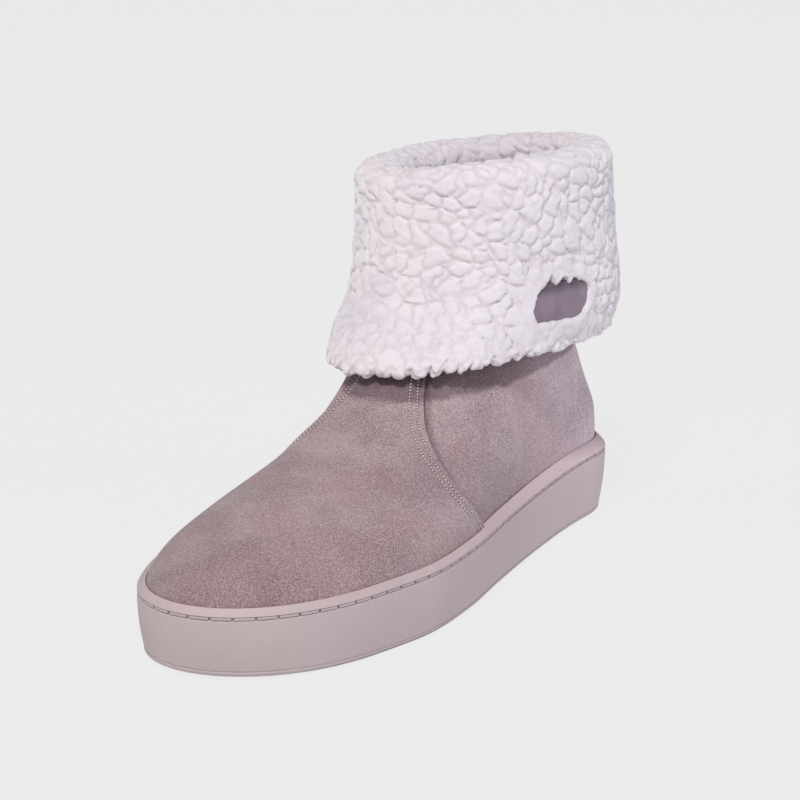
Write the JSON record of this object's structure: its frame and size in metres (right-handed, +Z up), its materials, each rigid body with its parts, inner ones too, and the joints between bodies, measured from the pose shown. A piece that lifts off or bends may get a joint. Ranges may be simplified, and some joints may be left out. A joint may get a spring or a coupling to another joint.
{
  "type": "fleece cuff ankle boot",
  "caption": "Left pull-on suede ankle boot with its shaft folded down as a deep fleece cuff, standing empty on a moulded rubber cup sole.",
  "frame": {"origin": "middle of the object's box on the floor, under the sole", "axes": "-Y points to the toe, +X to the outer side of this left shoe, +Z up"},
  "size_m": [0.0976, 0.2738, 0.1473],
  "materials": {
    "sole_rubber": "matt moulded rubber with a fine grain, dusty pink",
    "insole_felt": "short pile footbed",
    "suede": "napped suede, mauve taupe, with darker and rosier patches",
    "fleece": "curly sherpa fleece, off-white with a pink tinge",
    "patch_leather": "plain matt patch, darker than the suede"
  },
  "bodies": {
    "root": {"cupsole": "sole_rubber", "insole": "insole_felt", "upper": "suede", "vamp": "suede", "cuff_fleece": "fleece", "patch": "patch_leather"}
  },
  "joints": []
}
